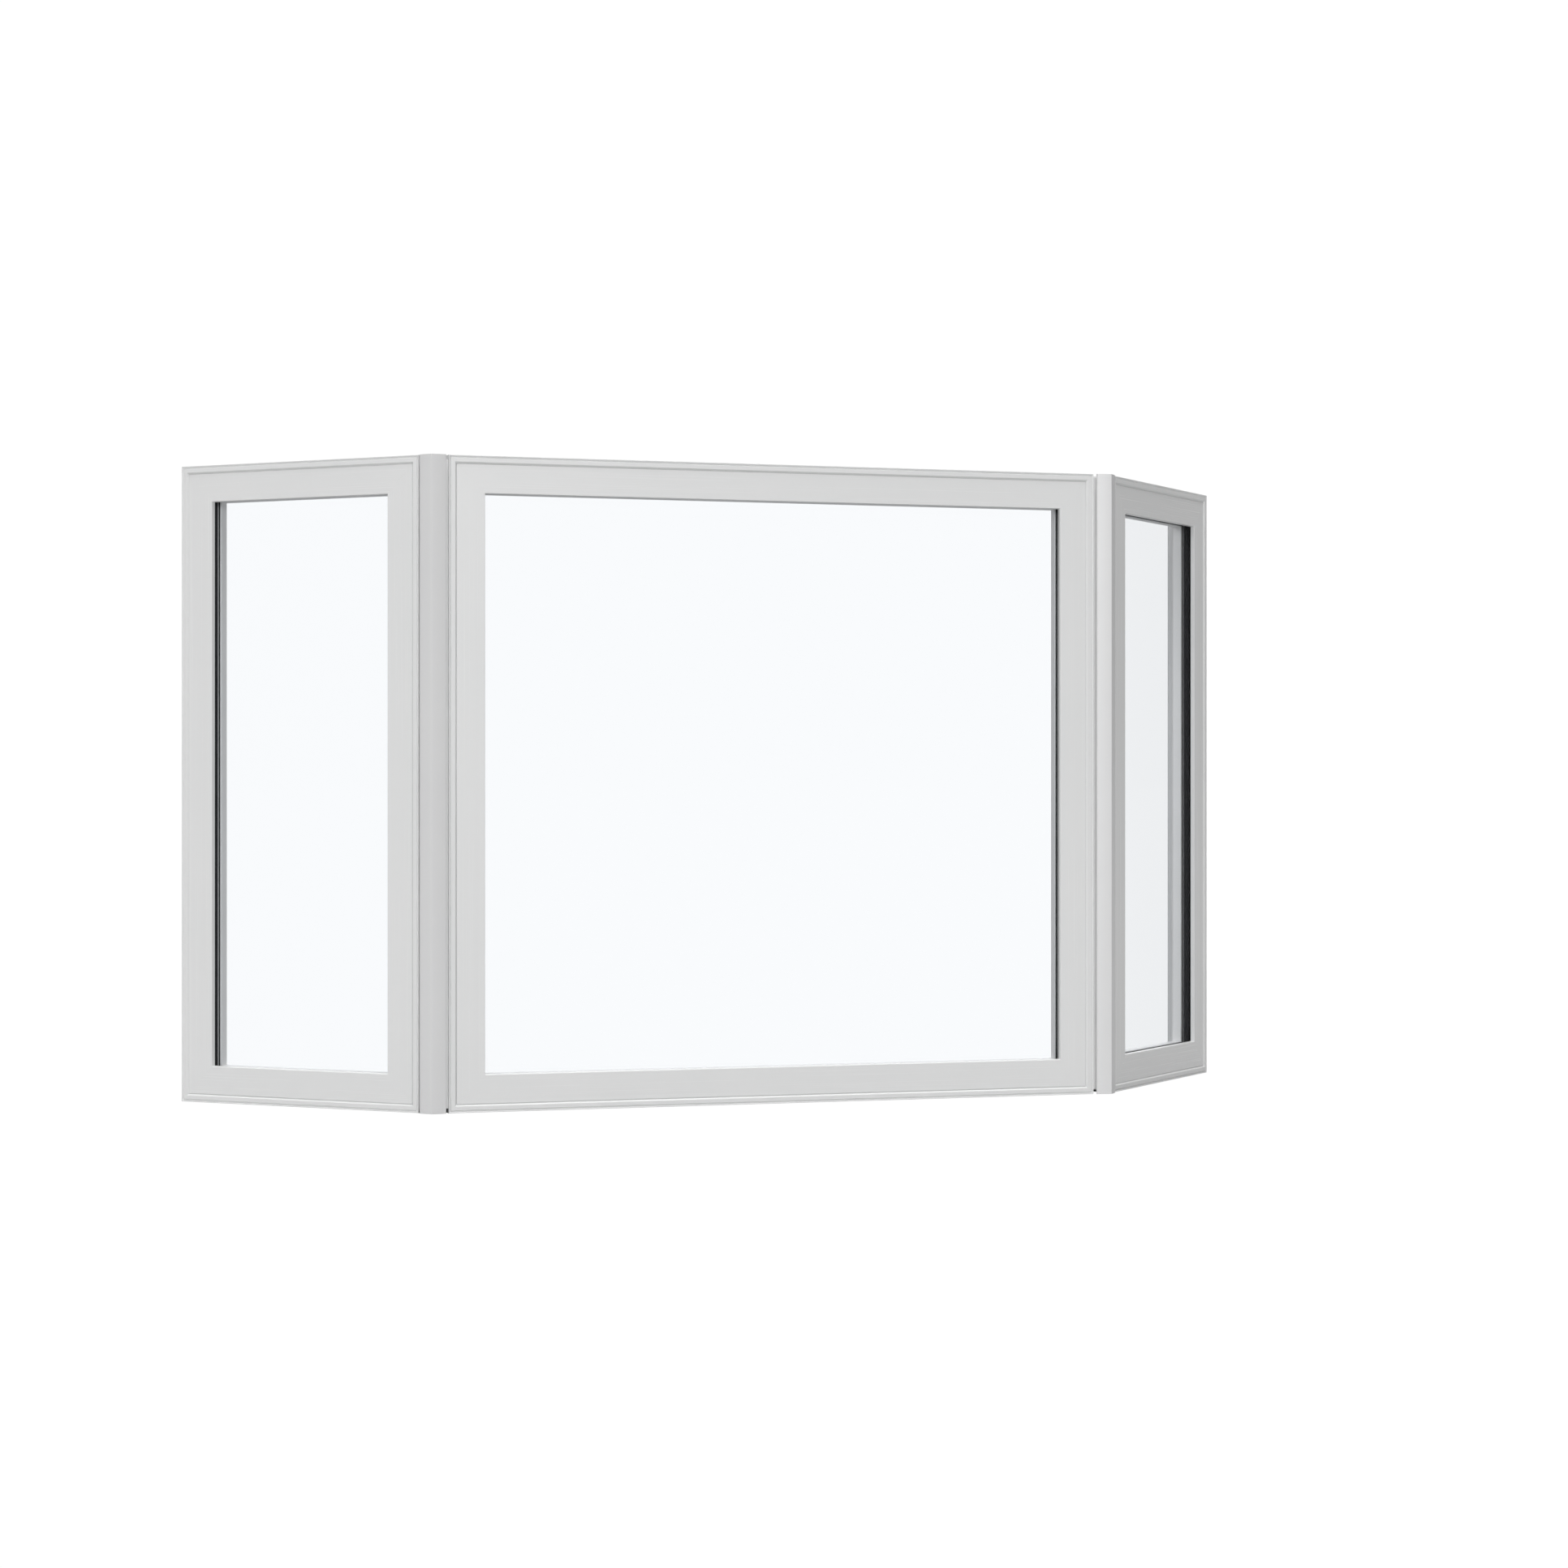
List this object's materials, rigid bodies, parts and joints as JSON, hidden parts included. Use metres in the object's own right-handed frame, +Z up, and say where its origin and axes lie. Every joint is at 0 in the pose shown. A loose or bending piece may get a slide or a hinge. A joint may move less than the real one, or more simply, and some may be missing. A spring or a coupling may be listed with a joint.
{
  "type": "angled bay window",
  "caption": "Angled bay window: a wide fixed light between narrow casements, joined by slim creased corner posts, in white frames with clear double glazing.",
  "frame": {"origin": "middle of the bay's plan box at the level of the sill faces", "axes": "+X right seen from outside, -Y outside, +Y room, +Z up; mirror symmetric about X = 0"},
  "size_m": [2.4796, 0.5322, 1.4],
  "materials": {
    "window_profile": "smooth extruded white PVC-u, satin sheen",
    "glazing_bead": "smooth extruded white PVC-u",
    "window_glass": "clear float glass",
    "spacer_bar": "black warm-edge spacer with sealant",
    "black_rubber": "black EPDM glazing and weather seals",
    "handle_paint": "white powder coat",
    "post_tube": "mill-finish extruded aluminium",
    "coupling_adaptor": "extruded white PVC-u, matt",
    "post_cover": "smooth extruded white PVC-u, satin sheen"
  },
  "bodies": {
    "root": {"centre_frame_head": "window_profile", "centre_frame_jamb_left": "window_profile", "centre_frame_jamb_right": "window_profile", "centre_frame_sill": "window_profile", "centre_glass_inner": "window_glass", "centre_glass_outer": "window_glass", "centre_glass_spacer": "spacer_bar", "centre_glazing_beads": "glazing_bead", "centre_glazing_gaskets": "black_rubber", "centre_sash_bottom_rail": "window_profile", "centre_sash_stile_left": "window_profile", "centre_sash_stile_right": "window_profile", "centre_sash_top_rail": "window_profile", "centre_weather_seal": "black_rubber", "left_frame_head": "window_profile", "left_frame_jamb_inner": "window_profile", "left_frame_jamb_outer": "window_profile", "left_frame_sill": "window_profile", "left_glass_inner": "window_glass", "left_glass_outer": "window_glass", "left_glass_spacer": "spacer_bar", "left_glazing_beads": "glazing_bead", "left_glazing_gaskets": "black_rubber", "left_handle": "handle_paint", "left_post_adaptors": "coupling_adaptor", "left_post_inner_cover": "post_cover", "left_post_outer_cover": "post_cover", "left_post_tube": "post_tube", "left_sash_bottom_rail": "window_profile", "left_sash_stile_inner": "window_profile", "left_sash_stile_outer": "window_profile", "left_sash_top_rail": "window_profile", "left_weather_seal": "black_rubber", "right_frame_head": "window_profile", "right_frame_jamb_inner": "window_profile", "right_frame_jamb_outer": "window_profile", "right_frame_sill": "window_profile", "right_glass_inner": "window_glass", "right_glass_outer": "window_glass", "right_glass_spacer": "spacer_bar", "right_glazing_beads": "glazing_bead", "right_glazing_gaskets": "black_rubber", "right_handle": "handle_paint", "right_post_adaptors": "coupling_adaptor", "right_post_inner_cover": "post_cover", "right_post_outer_cover": "post_cover", "right_post_tube": "post_tube", "right_sash_bottom_rail": "window_profile", "right_sash_stile_inner": "window_profile", "right_sash_stile_outer": "window_profile", "right_sash_top_rail": "window_profile", "right_weather_seal": "black_rubber"}
  },
  "joints": []
}
